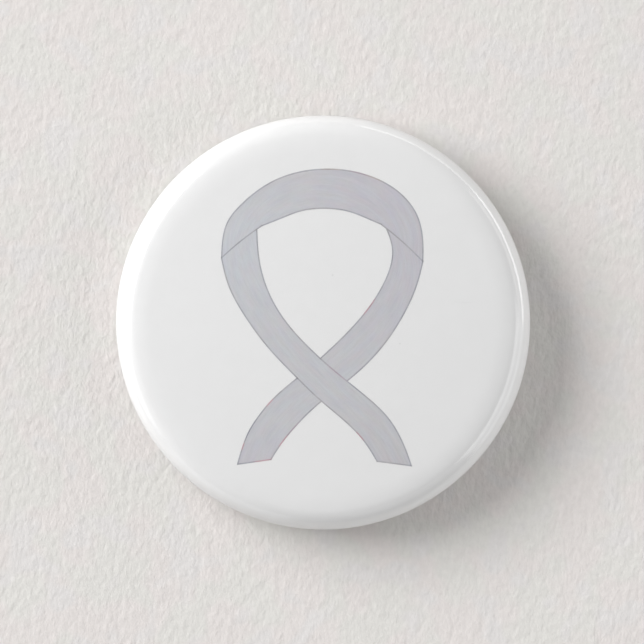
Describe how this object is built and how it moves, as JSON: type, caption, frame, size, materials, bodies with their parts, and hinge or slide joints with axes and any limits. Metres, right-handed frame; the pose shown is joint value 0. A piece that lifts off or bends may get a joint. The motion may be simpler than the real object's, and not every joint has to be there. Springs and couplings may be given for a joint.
{
  "type": "round pin-back button badge with a printed awareness ribbon",
  "caption": "Round domed pin-back button badge with a looped grey awareness ribbon printed on white, a pressed back plate and a bent wire pin to fasten it to cloth.",
  "frame": {"origin": "middle of the flat ring under the rim, on the surface that the badge lies on", "axes": "+Z out of the printed face, +Y towards the top of the printed ribbon, +X to the right as the face is read"},
  "size_m": [0.0318, 0.0318, 0.0049],
  "materials": {
    "tinplate": "bright tinplate",
    "face_paper": "smooth white printing paper",
    "ribbon_ink": "soft grey print, like coloured pencil",
    "clear_film": "clear glossy film",
    "back_tinplate": "plain tinplate, faint rolling lines",
    "pin_steel": "bright nickel-plated spring steel"
  },
  "bodies": {
    "root": {"shell": "tinplate", "face_paper": "face_paper", "ribbon_print": "ribbon_ink", "film": "clear_film", "back_plate": "back_tinplate", "pin_wire": "pin_steel"}
  },
  "joints": []
}
